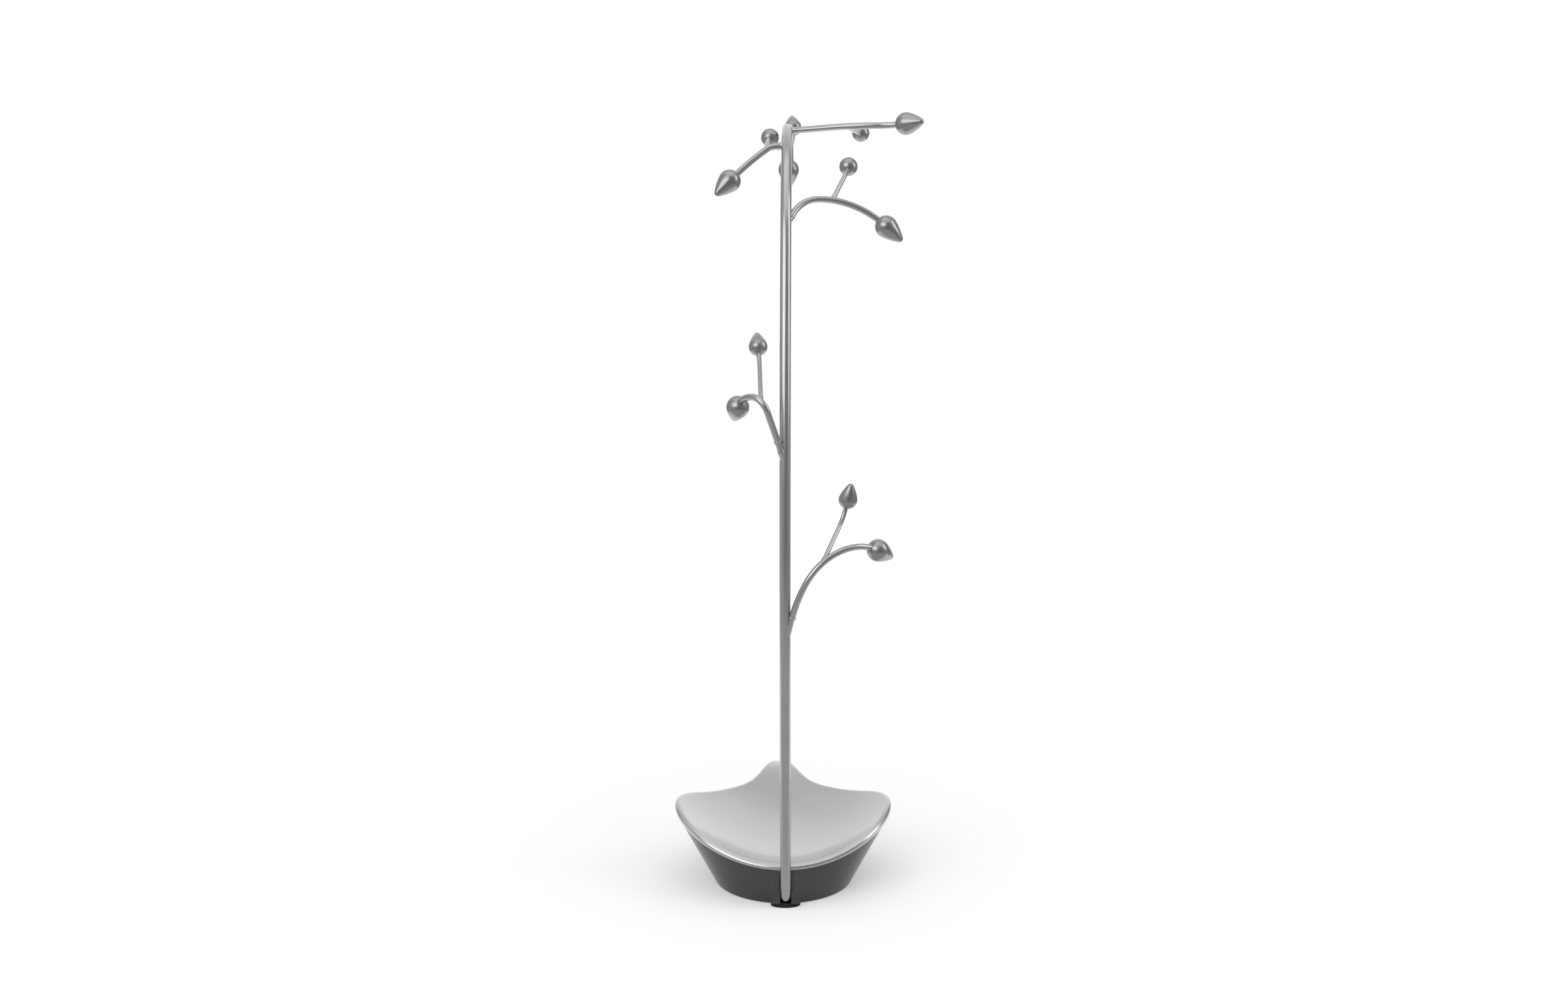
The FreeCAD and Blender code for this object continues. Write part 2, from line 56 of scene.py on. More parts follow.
# %% Camera
CAMERA_AT = Vector((-25.92, -947.89, 361.03)) * MM
CAMERA_LOOKS_AT = Vector((-1.03, -57.0, 235.77)) * MM
SENSOR_MM = 36.0
LENS_MM = 38.12

lens = bpy.data.cameras.new("camera")
lens.sensor_fit = "HORIZONTAL"
lens.sensor_width = SENSOR_MM
lens.lens = LENS_MM
camera = bpy.data.objects.new("camera", lens)
camera.location = CAMERA_AT
camera.rotation_euler = (CAMERA_LOOKS_AT - CAMERA_AT).to_track_quat("-Z", "Y").to_euler()
bpy.context.scene.collection.objects.link(camera)
bpy.context.scene.camera = camera
print("camera height in mm:", round(camera.location.z / MM))

# %% [markdown]
# ## Finishes
# Six finishes make the object. The rods and buds are steel with a satin nickel plate, the dish is a satin
# silver shell, and the base is charcoal plastic with a fine spark texture. Rubber, zinc and raw iron are
# below and inside, and of these only the rubber shows, as a black lobe under the foot that stands in as
# painted shadow for the dark gap there. Each one is a Principled shader whose colour and roughness vary a
# little with noise on Object coordinates, because no real plate or moulding is perfectly even.


# %% Helpers for node materials
NOISE_RANGE = (0.3, 0.7)


def new_material(name):
    """A material with its Principled shader, its tree and Object coordinates."""
    material = bpy.data.materials.new(name)
    material.use_nodes = True
    tree = material.node_tree
    shader = tree.nodes["Principled BSDF"]
    places = tree.nodes.new("ShaderNodeTexCoord")
    return material, tree, shader, places.outputs["Object"]


def noise(tree, places, cells, detail):
    """Noise over the object, in cells per metre."""
    node = tree.nodes.new("ShaderNodeTexNoise")
    node.inputs["Scale"].default_value = cells
    node.inputs["Detail"].default_value = detail
    tree.links.new(places, node.inputs["Vector"])
    return node.outputs["Fac"]


def map_range(node, from_low, from_high, to_low, to_high):
    """Sets the four ends of a Map Range node."""
    node.inputs["From Min"].default_value = from_low
    node.inputs["From Max"].default_value = from_high
    node.inputs["To Min"].default_value = to_low
    node.inputs["To Max"].default_value = to_high


def spread(tree, value, low, high):
    """Maps noise, which stays near the middle, to a range."""
    node = tree.nodes.new("ShaderNodeMapRange")
    map_range(node, *NOISE_RANGE, low, high)
    tree.links.new(value, node.inputs["Value"])
    return node.outputs["Result"]


def tint(tree, value, dark, light):
    """Colour between two tones, chosen by noise."""
    node = tree.nodes.new("ShaderNodeMix")
    node.data_type = "RGBA"
    node.inputs["A"].default_value = (*dark, 1)
    node.inputs["B"].default_value = (*light, 1)
    tree.links.new(spread(tree, value, 0, 1), node.inputs["Factor"])
    return node.outputs["Result"]


def bump(tree, shader, height, strength, depth_mm):
    """Tiny relief from noise."""
    node = tree.nodes.new("ShaderNodeBump")
    node.inputs["Strength"].default_value = strength
    node.inputs["Distance"].default_value = depth_mm * MM
    tree.links.new(height, node.inputs["Height"])
    tree.links.new(node.outputs["Normal"], shader.inputs["Normal"])


print("noise is used between:", NOISE_RANGE)

# %% [markdown]
# ### Satin nickel
# The rods and buds are blasted before they are plated, so their gloss is soft and even. A picture
# of the surface could give that, but it would repeat along a rod, so noise varies the roughness
# instead. The buds are darker than the rods, and their noise is coarser.

# %% Satin nickel
PLATE_WARMTH = np.array((1.01, 1.0, 0.99))
PLATE_DRIFT = 0.015


def satin_nickel(name, tone, rough_low, rough_high, grain_cells):
    """Plated steel, blasted before the plate: a soft gloss that varies a little from place to place."""
    material, tree, shader, places = new_material(name)
    shader.inputs["Metallic"].default_value = 1.0
    cloud = noise(tree, places, cells=60, detail=3)
    grain = noise(tree, places, cells=grain_cells, detail=2)
    dark = PLATE_WARMTH * (tone - PLATE_DRIFT)
    light = PLATE_WARMTH * (tone + PLATE_DRIFT)
    tree.links.new(tint(tree, cloud, dark, light), shader.inputs["Base Color"])
    tree.links.new(spread(tree, grain, rough_low, rough_high), shader.inputs["Roughness"])
    bump(tree, shader, grain, strength=0.02, depth_mm=0.01)
    return material


rod_finish = satin_nickel("satin_nickel_rod", tone=0.50, rough_low=0.24, rough_high=0.27, grain_cells=900)
bud_finish = satin_nickel("satin_nickel_bud", tone=0.39, rough_low=0.25, rough_high=0.33, grain_cells=450)
print("plated finishes:", rod_finish.name, bud_finish.name)


# %% [markdown]
# ### Satin silver
# The dish is moulded and has a silver coat with fine flakes. It mirrors the white room as a smooth
# grey, so it is nearly all metal, with a flake noise that only just breaks the gloss.

# %% Satin silver dish
def satin_silver():
    """Moulded shell with a bright silver coat: glossy enough to show soft shapes, nearly even."""
    material, tree, shader, places = new_material("satin_silver")
    shader.inputs["Metallic"].default_value = 0.95
    cloud = noise(tree, places, cells=35, detail=3)
    flake = noise(tree, places, cells=2600, detail=2)
    colour = tint(tree, cloud, (0.610, 0.610, 0.608), (0.640, 0.640, 0.638))
    tree.links.new(colour, shader.inputs["Base Color"])
    tree.links.new(spread(tree, flake, 0.18, 0.23), shader.inputs["Roughness"])
    bump(tree, shader, flake, strength=0.015, depth_mm=0.01)
    return material


dish_finish = satin_silver()
print("finish of the dish:", dish_finish.name)

# %% [markdown]
# ### Charcoal plastic, rubber and plain metals
# The base is moulded in a tool with a spark texture, which leaves a fine even grain on dark plastic.
# The pad is foam rubber with pores. Screws and ballast are hidden, so one function with two tones
# makes both of their metals.

# %% Charcoal plastic, rubber, zinc and iron
ROUGH_DRIFT = 0.05


def charcoal(name, dark, light, rough):
    """Moulded plastic with a fine spark texture."""
    material, tree, shader, places = new_material(name)
    shader.inputs["Specular IOR Level"].default_value = 1.0
    spark = noise(tree, places, cells=2200, detail=3)
    cloud = noise(tree, places, cells=60, detail=2)
    tree.links.new(tint(tree, cloud, dark, light), shader.inputs["Base Color"])
    roughness = spread(tree, spark, rough - ROUGH_DRIFT, rough + ROUGH_DRIFT)
    tree.links.new(roughness, shader.inputs["Roughness"])
    bump(tree, shader, spark, strength=0.05, depth_mm=0.03)
    return material


base_finish = charcoal("charcoal_plastic", (0.028, 0.028, 0.030), (0.034, 0.034, 0.036), 0.24)
cover_finish = charcoal("charcoal_cover", (0.036, 0.036, 0.038), (0.044, 0.044, 0.046), 0.55)


def rubber():
    """Soft foam rubber with small pores."""
    material, tree, shader, places = new_material("foam_rubber")
    pores = noise(tree, places, cells=1500, detail=4)
    colour = tint(tree, pores, (0.014, 0.014, 0.014), (0.030, 0.030, 0.030))
    tree.links.new(colour, shader.inputs["Base Color"])
    tree.links.new(spread(tree, pores, 0.8, 0.95), shader.inputs["Roughness"])
    bump(tree, shader, pores, strength=0.4, depth_mm=0.15)
    return material


def plain_metal(name, dark, light, rough_low, rough_high):
    """Metal that is out of sight: zinc plate or raw iron."""
    material, tree, shader, places = new_material(name)
    shader.inputs["Metallic"].default_value = 1.0
    cloud = noise(tree, places, cells=400, detail=4)
    tree.links.new(tint(tree, cloud, dark, light), shader.inputs["Base Color"])
    tree.links.new(spread(tree, cloud, rough_low, rough_high), shader.inputs["Roughness"])
    return material


pad_finish = rubber()
screw_finish = plain_metal("zinc_plate", (0.62, 0.63, 0.65), (0.72, 0.73, 0.74), 0.25, 0.4)
iron_finish = plain_metal("raw_iron", (0.15, 0.15, 0.15), (0.22, 0.22, 0.22), 0.55, 0.75)
print("finishes:", len(bpy.data.materials))

# %% [markdown]
# ## Lines that the rods follow
# Each rod was bent from wire: straight runs and round bends in one plane that is tilted in space.
# So a rod's centre line is a start, a plane and a list of runs (length, turn). A small class walks
# along the runs and gives the point and direction at any length.


# %% The bent line
def rad(degrees):
    return math.radians(degrees)


class Bend:
    """Centre line of a rod, in mm: runs of (length, turn in degrees) in a tilted plane."""

    def __init__(self, start, swing, tilt, climb, runs):
        up = Vector((0, 0, 1))
        self.start = start
        self.ahead = Vector((math.cos(rad(swing)), math.sin(rad(swing)), 0))
        self.side = up * math.cos(rad(tilt)) + up.cross(self.ahead) * math.sin(rad(tilt))
        self.climb = climb
        self.runs = runs
        self.length = sum(length for length, turn in runs)

    def heading(self, angle):
        return self.ahead * math.cos(rad(angle)) + self.side * math.sin(rad(angle))

    def walk(self, point, angle, length, turn):
        if abs(turn) < 1e-9:
            return point + self.heading(angle) * length, angle
        radius = length / rad(turn)
        centre = point + self.heading(angle + 90) * radius
        return centre - self.heading(angle + turn + 90) * radius, angle + turn

    def at(self, place):
        """Point and direction at a length along the line."""
        point, angle, left = self.start, self.climb, place
        for length, turn in self.runs:
            if left <= length:
                point, angle = self.walk(point, angle, left, turn * left / length)
                return point, self.heading(angle)
            point, angle = self.walk(point, angle, length, turn)
            left -= length
        return point + self.heading(angle) * left, self.heading(angle)


quarter = Bend(Vector((0, 0, 0)), 0, 0, 90, ((10.0, -90),))
print("end of a quarter bend of 10 mm:", [round(v, 2) for v in quarter.at(quarter.length)[0]])

# %% [markdown]
# The stem is one straight foot, four round bends that follow each other without a corner, and a
# short straight tail. A bend is given as the maker would set it, by its radius and its turn.

# %% Stem as a line
STEM_R = 3.0
STEM_START = Vector((0, -53.0, 3.0))
STEM_SWING = 87.5
STEM_LEAN = 11.0
STEM_BACK_TURN = 20.0
STEM_FOOT_RUN = 40.0
STEM_TAIL = 5.0
# radius and turn of the bow, the upper stem, the arch and the droop
STEM_BENDS = ((900.0, STEM_LEAN), (480.0, STEM_BACK_TURN), (88.0, 90 - STEM_BACK_TURN), (34.0, 60.0))

bend_runs = [(radius * rad(turn), -turn) for radius, turn in STEM_BENDS]
stem_runs = [(STEM_FOOT_RUN, 0), *bend_runs, (STEM_TAIL, 0)]
stem_line = Bend(STEM_START, STEM_SWING, 0, 90 + STEM_LEAN, stem_runs)
stem_crest = stem_line.length - STEM_TAIL - bend_runs[-1][0]
print("length of the stem in mm:", round(stem_line.length))

# %% [markdown]
# Branches leave the stem and twigs leave the branches, each in a plane of its own. Every line of
# the two tables is one rod: where it starts, how its plane is turned, and its runs.

# %% Branches and twigs as lines
# way down the stem from its crest, swing, tilt, climb, length of the spur, then (length, turn)
BRANCHES = {
    "lower_right": (331.1, 29, -17, 82, 13.5, ((17.5, 0), (17.5, -15), (51.0, -94))),
    "mid_left": (234.5, 125, 24, 92, 12.0, ((30.5, 0), (12.5, -90), (20.5, -47))),
    "upper_right": (106.1, 20, 22, 52, 5.5, ((9.5, 0), (18.0, -51), (42.0, -47))),
    "top_right": (21.3, -2, 95, -26, 5.5, ((27.0, 0), (27.5, 24), (16.5, -40))),
    "top_left": (46.6, 198, -12, -8, 4.5, ((8.5, 0), (4.0, -26), (29.0, -9))),
}
# way along the branch, swing, tilt, climb, then (length, turn); the rear one is placed from the end
TWIGS = {
    "lower_right": (49.0, 72, -15, 45, ((24.0, 0), (17.0, 60))),
    "mid_left": (37.0, 82, 13, 34, ((30.0, 0), (16.5, 13))),
    "upper_right": (35.5, 95, -32, 54, ((18.5, 0), (13.0, -34))),
    "top_right": (36.5, 78, 15, 0, ((50.0, 0), (10.0, 9))),
    "top_left": (12.0, 81, 17, 22, ((7.0, 0), (24.0, -15))),
    "rear": (14.5, 67, 23, 23, ((7.0, 0), (21.0, 29))),
}
branch_lines = {}
stub_lengths = {}
for name, (down, swing, tilt, climb, stub, runs) in BRANCHES.items():
    root = stem_line.at(stem_crest - down)[0]
    branch_lines[name] = Bend(root, swing, tilt, climb, runs)
    stub_lengths[name] = stub
twig_lines = {}
for name, (place, swing, tilt, climb, runs) in TWIGS.items():
    if name == "rear":
        root = stem_line.at(stem_line.length - place)[0]
    else:
        root = branch_lines[name].at(place)[0]
    twig_lines[name] = Bend(root, swing, tilt, climb, runs)
print("longest branch in mm:", round(max(line.length for line in branch_lines.values())))

# %% [markdown]
# ## One node tree for everything turned or drawn
# A rod is a circle carried along a line, and a bud is a circle carried along a short straight line
# while its radius swells and tapers. One Geometry Nodes tree makes both: it takes a line whose
# points carry a radius, sweeps a circle along it with that radius as the scale, closes the ends,
# shades it smooth and sets the finish.


# %% The sweep tree
def sweep_tree():
    """Tree that sweeps a circle along a line, with each point's radius as its size."""
    tree = bpy.data.node_groups.new("turned_along_a_line", "GeometryNodeTree")
    tree.interface.new_socket("Line", in_out="INPUT", socket_type="NodeSocketGeometry")
    tree.interface.new_socket("Sides", in_out="INPUT", socket_type="NodeSocketInt")
    tree.interface.new_socket("Finish", in_out="INPUT", socket_type="NodeSocketMaterial")
    tree.interface.new_socket("Mesh", in_out="OUTPUT", socket_type="NodeSocketGeometry")
    add, link = tree.nodes.new, tree.links.new
    start = add("NodeGroupInput")
    end = add("NodeGroupOutput")
    circle = add("GeometryNodeCurvePrimitiveCircle")
    circle.inputs["Radius"].default_value = 1.0
    radius = add("GeometryNodeInputRadius")
    sweep = add("GeometryNodeCurveToMesh")
    sweep.inputs["Fill Caps"].default_value = True
    smooth = add("GeometryNodeSetShadeSmooth")
    realize = add("GeometryNodeRealizeInstances")
    finish = add("GeometryNodeSetMaterial")
    link(start.outputs["Sides"], circle.inputs["Resolution"])
    link(start.outputs["Line"], sweep.inputs["Curve"])
    link(circle.outputs["Curve"], sweep.inputs["Profile Curve"])
    link(radius.outputs["Radius"], sweep.inputs["Scale"])
    link(sweep.outputs["Mesh"], smooth.inputs["Geometry"])
    link(smooth.outputs["Geometry"], realize.inputs["Geometry"])
    link(realize.outputs["Geometry"], finish.inputs["Geometry"])
    link(start.outputs["Finish"], finish.inputs["Material"])
    link(finish.outputs["Geometry"], end.inputs["Mesh"])
    return tree


turned = sweep_tree()
turned_inputs = {}
for item in turned.interface.items_tree:
    if item.in_out == "INPUT":
        turned_inputs[item.name] = item.identifier


def swept(points, radii, sides, finish):
    """Plain mesh of a circle swept along points, in mm, with a radius at each point."""
    curve = bpy.data.curves.new("line", "CURVE")
    curve.dimensions = "3D"
    spline = curve.splines.new("POLY")
    spline.points.add(len(points) - 1)
    for dot, point, radius in zip(spline.points, points, radii):
        dot.co = (*(point * MM), 1)
        dot.radius = radius * MM
    carrier = bpy.data.objects.new("line", curve)
    bpy.context.scene.collection.objects.link(carrier)
    modifier = carrier.modifiers.new("turned", "NODES")
    modifier.node_group = turned
    modifier[turned_inputs["Sides"]] = sides
    modifier[turned_inputs["Finish"]] = finish
    graph = bpy.context.evaluated_depsgraph_get()
    mesh = bpy.data.meshes.new_from_object(carrier.evaluated_get(graph))
    bpy.data.objects.remove(carrier)
    bpy.data.curves.remove(curve)
    return mesh


print("inputs of the sweep:", list(turned_inputs))

# %% [markdown]
# A finished piece is one mesh with smooth shading, which stays sharp only at true edges. It stands
# for a node of the frame and rides on its body. The same few lines do this for every piece.

# %% Finished pieces
SHARP_DEG = 45.0


def plain_mesh(name, made):
    """Mesh from a bmesh, which is freed."""
    mesh = bpy.data.meshes.new(name)
    made.to_mesh(mesh)
    made.free()
    return mesh


def dressed(name, made, finish, node, sharp=SHARP_DEG):
    """One finished piece from a bmesh, standing for a node of the frame."""
    for face in made.faces:
        face.smooth = True
        face.material_index = 0
    mesh = plain_mesh(name, made)
    mesh.set_sharp_from_angle(angle=rad(sharp))
    mesh.materials.clear()
    mesh.materials.append(finish)
    piece = bpy.data.objects.new(name, mesh)
    bpy.context.scene.collection.objects.link(piece)
    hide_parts(node)
    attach(piece, "root")
    return piece


def piece_from(name, meshes, finish, node):
    """One finished piece from closed meshes."""
    made = bmesh.new()
    for mesh in meshes:
        made.from_mesh(mesh)
        bpy.data.meshes.remove(mesh)
    bmesh.ops.recalc_face_normals(made, faces=made.faces)
    return dressed(name, made, finish, node)


print("edges stay sharp above, in degrees:", SHARP_DEG)

# %% [markdown]
# ## Rods
# The stem ends below in a long bullet and carries a tapered spur for each branch. A branch starts
# with a small collar where it is brazed on its spur, and a twig with a smaller one on its branch.
# All of these are radii along a line, so each piece only needs a rule for its radius.

# %% Radii along the rods
BRANCH_R = 1.8
TWIG_R = 1.25
STEM_DOME = 4.2
STEM_POINT_R = 0.012
STUB_ROOT_R = 2.2
STUB_END_R = 1.6
STUB_FILLET = 0.9
COLLAR_R = 2.1
COLLAR_L = 1.5
COLLAR_GROOVE = 0.2
TWIG_COLLAR_R = 1.5
TWIG_COLLAR_L = 1.2
EDGE = 0.3
NEAREST = 0.02


def rounded(distance, size):
    """Share of the full radius near an end that is rounded over a size."""
    if distance >= size:
        return 1.0
    w = 1 - max(distance, 0) / size
    return math.sqrt(max(1 - w * w, 0.0))


def stem_radius(s):
    """Even rod with a bullet end."""
    return max(STEM_R * rounded(s, STEM_DOME), STEM_POINT_R)


def stub_radius(s, stub, lean):
    """Taper with a small fillet where the spur leaves the stem, slighter where it leans along it."""
    leave = STEM_R / lean
    fillet = STUB_FILLET * lean ** 2 * math.exp(-abs(s - leave) / STUB_FILLET)
    return STUB_ROOT_R + (STUB_END_R - STUB_ROOT_R) * s / stub + fillet


def collared(s, start, rod_r, collar_r, collar_l):
    """Rod with a collar at its start, both edges softly rounded."""
    into = s - start
    step = collar_r - rod_r
    if into <= collar_l:
        edge = min(rounded(into, EDGE), rounded(collar_l - into, EDGE))
        return rod_r + step * edge - COLLAR_GROOVE * (1 - rounded(into, EDGE))
    return rod_r


def places_between(begin, end, step, extra=()):
    """Places along a line: even steps, and more in the extra stretches (start, width, parts)."""
    count = max(int((end - begin) / step), 4)
    out = [begin + (end - begin) * i / count for i in range(count + 1)]
    for at, width, parts in extra:
        out += [at + width * i / parts for i in range(parts + 1)]
    out = sorted(p for p in out if begin <= p <= end)
    kept = [out[0]]
    for p in out[1:]:
        if p - kept[-1] > NEAREST:
            kept.append(p)
    return kept


print("radius of the stem halfway up its bullet end in mm:", round(stem_radius(STEM_DOME / 2), 2))

# %% Stem
BUD_R = 6.2
SMALL_BUD_R = 5.15
BUD_BITE = 0.8
STEM_SIDES = 40
STEM_STEP = 2.0
DOME_STEPS = 14
STUB_SIDES = 28
STUB_FROM = 1.0
STUB_STEP = 0.5


def rod_end(line, rod_r, bud_r):
    """Place where a rod stops, a little inside its bud."""
    return line.length - math.sqrt(bud_r ** 2 - rod_r ** 2) + BUD_BITE


def build_stem():
    dome = [STEM_DOME * (1 - math.cos(math.pi / 2 * i / DOME_STEPS)) for i in range(DOME_STEPS)]
    places = dome + places_between(STEM_DOME, rod_end(stem_line, STEM_R, BUD_R), STEM_STEP)
    points = [stem_line.at(s)[0] for s in places]
    meshes = [swept(points, [stem_radius(s) for s in places], STEM_SIDES, rod_finish)]
    for name, line in branch_lines.items():
        stub = stub_lengths[name]
        spots = places_between(STUB_FROM, stub, STUB_STEP)
        upward = stem_line.at(stem_crest - BRANCHES[name][0])[1]
        lean = upward.cross(line.at(0)[1]).length
        radii = [stub_radius(s, stub, lean) for s in spots]
        meshes.append(swept([line.at(s)[0] for s in spots], radii, STUB_SIDES, rod_finish))
    return piece_from("stem_smooth", meshes, rod_finish, "stem")


stem = build_stem()
print("faces of the stem:", len(stem.data.polygons))

# %% Branches and twigs
BRANCH_SIDES = 28
TWIG_SIDES = 24
TWIG_START = 0.4
ROD_STEP = 0.8
EDGE_PARTS = 6


def build_rod(node, line, start, rod_r, collar_r, collar_l, bud_r, sides, slot):
    edges = [(start, EDGE, EDGE_PARTS), (start + collar_l - EDGE, EDGE, EDGE_PARTS)]
    places = places_between(start, rod_end(line, rod_r, bud_r), ROD_STEP, edges)
    radii = [collared(s, start, rod_r, collar_r, collar_l) for s in places]
    mesh = swept([line.at(s)[0] for s in places], radii, sides, rod_finish)
    return piece_from(node + "_smooth", [mesh], rod_finish, node)


for name, line in branch_lines.items():
    sizes = BRANCH_R, COLLAR_R, COLLAR_L, BUD_R, BRANCH_SIDES
    build_rod(name + "_branch", line, stub_lengths[name], *sizes, "branches")
for name, line in twig_lines.items():
    parent_r = STEM_R if name == "rear" else BRANCH_R
    sizes = TWIG_R, TWIG_COLLAR_R, parent_r + TWIG_COLLAR_L, SMALL_BUD_R, TWIG_SIDES
    build_rod(name + "_twig", line, TWIG_START, *sizes, "twigs")
print("rods:", 1 + len(branch_lines) + len(twig_lines))

# %% [markdown]
# ## Buds
# Every bud is a ball that runs into a cone with a blunt tip, like a drop. Its radius along its axis
# has three parts, which touch smoothly: the ball, a flank on a wide arc, and the round at the tip.


# %% Bud profile
BUD_FLANK = 6
BUD_POINT_R = 0.02
BALL_STEPS = 24
FLANK_STEPS = 14
TIP_STEPS = 9
# radius of the ball, reach of the tip, radius of the tip, sides
LARGE_BUD = (BUD_R, 11.8, 1.9, 48)
SMALL_BUD = (SMALL_BUD_R, 9.8, 1.7, 40)


def bud_profile(r, reach, tip_r):
    """(place along the axis, radius) from the back of the ball to the tip, in mm."""
    tip = reach - tip_r
    flank_r = BUD_FLANK * r
    place = (tip ** 2 - (flank_r - tip_r) ** 2 + (flank_r - r) ** 2) / (2 * tip)
    deep = math.sqrt((flank_r - r) ** 2 - place ** 2)
    first = math.atan2(-place, deep)
    last = math.atan2(tip - place, deep)
    arcs = (
        (0, 0, r, -math.pi / 2, first, BALL_STEPS),
        (place, -deep, flank_r, first, last, FLANK_STEPS),
        (tip, 0, tip_r, last, math.pi / 2, TIP_STEPS),
    )
    profile = []
    for middle, offset, radius, begin, end, steps in arcs:
        for i in range(steps):
            a = begin + (end - begin) * i / steps
            wide = offset + radius * math.cos(a)
            profile.append((middle + radius * math.sin(a), max(wide, BUD_POINT_R)))
    profile.append((reach, BUD_POINT_R))
    return profile


print("points of a bud's profile:", len(bud_profile(*LARGE_BUD[:3])))


# %% Buds
def build_bud(node, line, r, reach, tip_r, sides, slot):
    point, direction = line.at(line.length)
    profile = bud_profile(r, reach, tip_r)
    mesh = swept([point + direction * z for z, _ in profile], [w for _, w in profile], sides, bud_finish)
    return piece_from(node + "_smooth", [mesh], bud_finish, node)


build_bud("stem_bud", stem_line, *LARGE_BUD, "buds")
for name, line in branch_lines.items():
    build_bud(name + "_bud", line, *LARGE_BUD, "buds")
for name, line in twig_lines.items():
    build_bud(name + "_small_bud", line, *SMALL_BUD, "small_buds")
print("buds:", 1 + len(branch_lines) + len(twig_lines))

# %% [markdown]
# ## The petal dish
# The dish is a saddle: low in the middle, rising to two wings at the sides and to a tip behind. Its
# outline is a smooth line through a few points. Heights come from a formula, and rings of points
# run from the middle to the rim, round the edge and back underneath, so the shell is one closed
# mesh with a rounded rim.

# %% Heights of the dish
RIM_FRONT = -52.7
RIM_BACK = 88.0
RIM_HALF_W = 63.0
RIM_WIDE_Y = -2.0
RIM_PINCH = 1.45
RIM_TIP_R = 6.0
RIM_TIP_TURN = 29.0
DISH_FRONT_Z = 25.0
DISH_LOW_Z = 17.0
DISH_LOW_Y = -15.0
DISH_TIP_Z = 41.5
DISH_TIP_FLIP = 3.0
DISH_BACK_LIFT = 0.55
WING_RISE = 29.0
WING_CROWN = 1.2
TRAY_T = 3.6
TRAY_LIP = 0.8
SLOPE_STEP = 0.2


def dish_z(x, y):
    """Height of the upper face of the dish, in mm."""
    if y < DISH_LOW_Y:
        w = (DISH_LOW_Y - y) / (DISH_LOW_Y - RIM_FRONT)
        middle = DISH_LOW_Z + (DISH_FRONT_Z - DISH_LOW_Z) * w * w
    else:
        w = min((y - DISH_LOW_Y) / (RIM_BACK - DISH_LOW_Y), 1.05)
        lift = w * w * (1 + (DISH_BACK_LIFT + DISH_TIP_FLIP * w ** 4) * (1 - w))
        middle = DISH_LOW_Z + (DISH_TIP_Z - DISH_LOW_Z) * lift
    return middle + WING_RISE * (x / RIM_HALF_W) ** 2


def top_z(x, y):
    """Height of the upper face, with the crown that makes room for the roll at the wings."""
    return dish_z(x, y) + WING_CROWN * (x / RIM_HALF_W) ** 2


def slope(height, x, y):
    """Slope of a face along X and along Y."""
    sx = (height(x + SLOPE_STEP, y) - height(x - SLOPE_STEP, y)) / (2 * SLOPE_STEP)
    sy = (height(x, y + SLOPE_STEP) - height(x, y - SLOPE_STEP)) / (2 * SLOPE_STEP)
    return np.array((sx, sy))


def under_z(x, y):
    """Height of the under side, which lies the wall's thickness below, measured square to it."""
    lean = slope(dish_z, x, y)
    return dish_z(x, y) - TRAY_T * math.sqrt(1 + lean @ lean)


print("height of the dish at its lowest point and at a wing in mm:",
      round(top_z(0, DISH_LOW_Y), 1), round(top_z(RIM_HALF_W, RIM_WIDE_Y), 1))

# %% Outline of the rim
FRONT_STEPS = 4
BACK_PLACES = (0.0, 0.2, 0.4, 0.58, 0.74)
FINE_STEPS = 60
RIM_SIDE_POINTS = 150
RIM_TIP_POINTS = 25


def rim_points():
    """A few points of the right half of the rim, from the front to the round tip."""
    side = []
    for i in range(FRONT_STEPS):
        u = math.pi / 2 * i / FRONT_STEPS
        side.append((RIM_HALF_W * math.sin(u), RIM_WIDE_Y - (RIM_WIDE_Y - RIM_FRONT) * math.cos(u)))
    for v in BACK_PLACES:
        x = RIM_HALF_W * math.cos(math.pi / 2 * v) ** RIM_PINCH
        side.append((x, RIM_WIDE_Y + (RIM_BACK - RIM_WIDE_Y) * v))
    turn = rad(RIM_TIP_TURN)
    side.append((RIM_TIP_R * math.cos(turn), RIM_BACK - RIM_TIP_R + RIM_TIP_R * math.sin(turn)))
    return np.array(side)


def smooth_line(points, start, end, count):
    """Smooth cubic line through points with given end directions, sampled evenly."""
    t = np.concatenate([[0], np.cumsum(np.linalg.norm(np.diff(points, axis=0), axis=1))])
    h = np.diff(t)
    n = len(points)
    system = np.zeros((n, n))
    right = np.zeros((n, 2))
    system[0, 0] = system[-1, -1] = 1
    right[0], right[-1] = start, end
    for i in range(1, n - 1):
        system[i, i - 1] = h[i]
        system[i, i] = 2 * (h[i - 1] + h[i])
        system[i, i + 1] = h[i - 1]
        before = (points[i] - points[i - 1]) / h[i - 1]
        after = (points[i + 1] - points[i]) / h[i]
        right[i] = 3 * (h[i] * before + h[i - 1] * after)
    slopes = np.linalg.solve(system, right)
    fine = []
    for i in range(n - 1):
        for w in np.linspace(0, 1, FINE_STEPS, endpoint=False):
            a = (1 + 2 * w) * (1 - w) ** 2
            b = w * (1 - w) ** 2
            c = w * w * (3 - 2 * w)
            d = w * w * (w - 1)
            fine.append(a * points[i] + b * h[i] * slopes[i] + c * points[i + 1] + d * h[i] * slopes[i + 1])
    fine.append(points[-1])
    fine = np.array(fine)
    run = np.concatenate([[0], np.cumsum(np.linalg.norm(np.diff(fine, axis=0), axis=1))])
    wanted = np.linspace(0, run[-1], count)
    return np.stack([np.interp(wanted, run, fine[:, k]) for k in (0, 1)], axis=1)


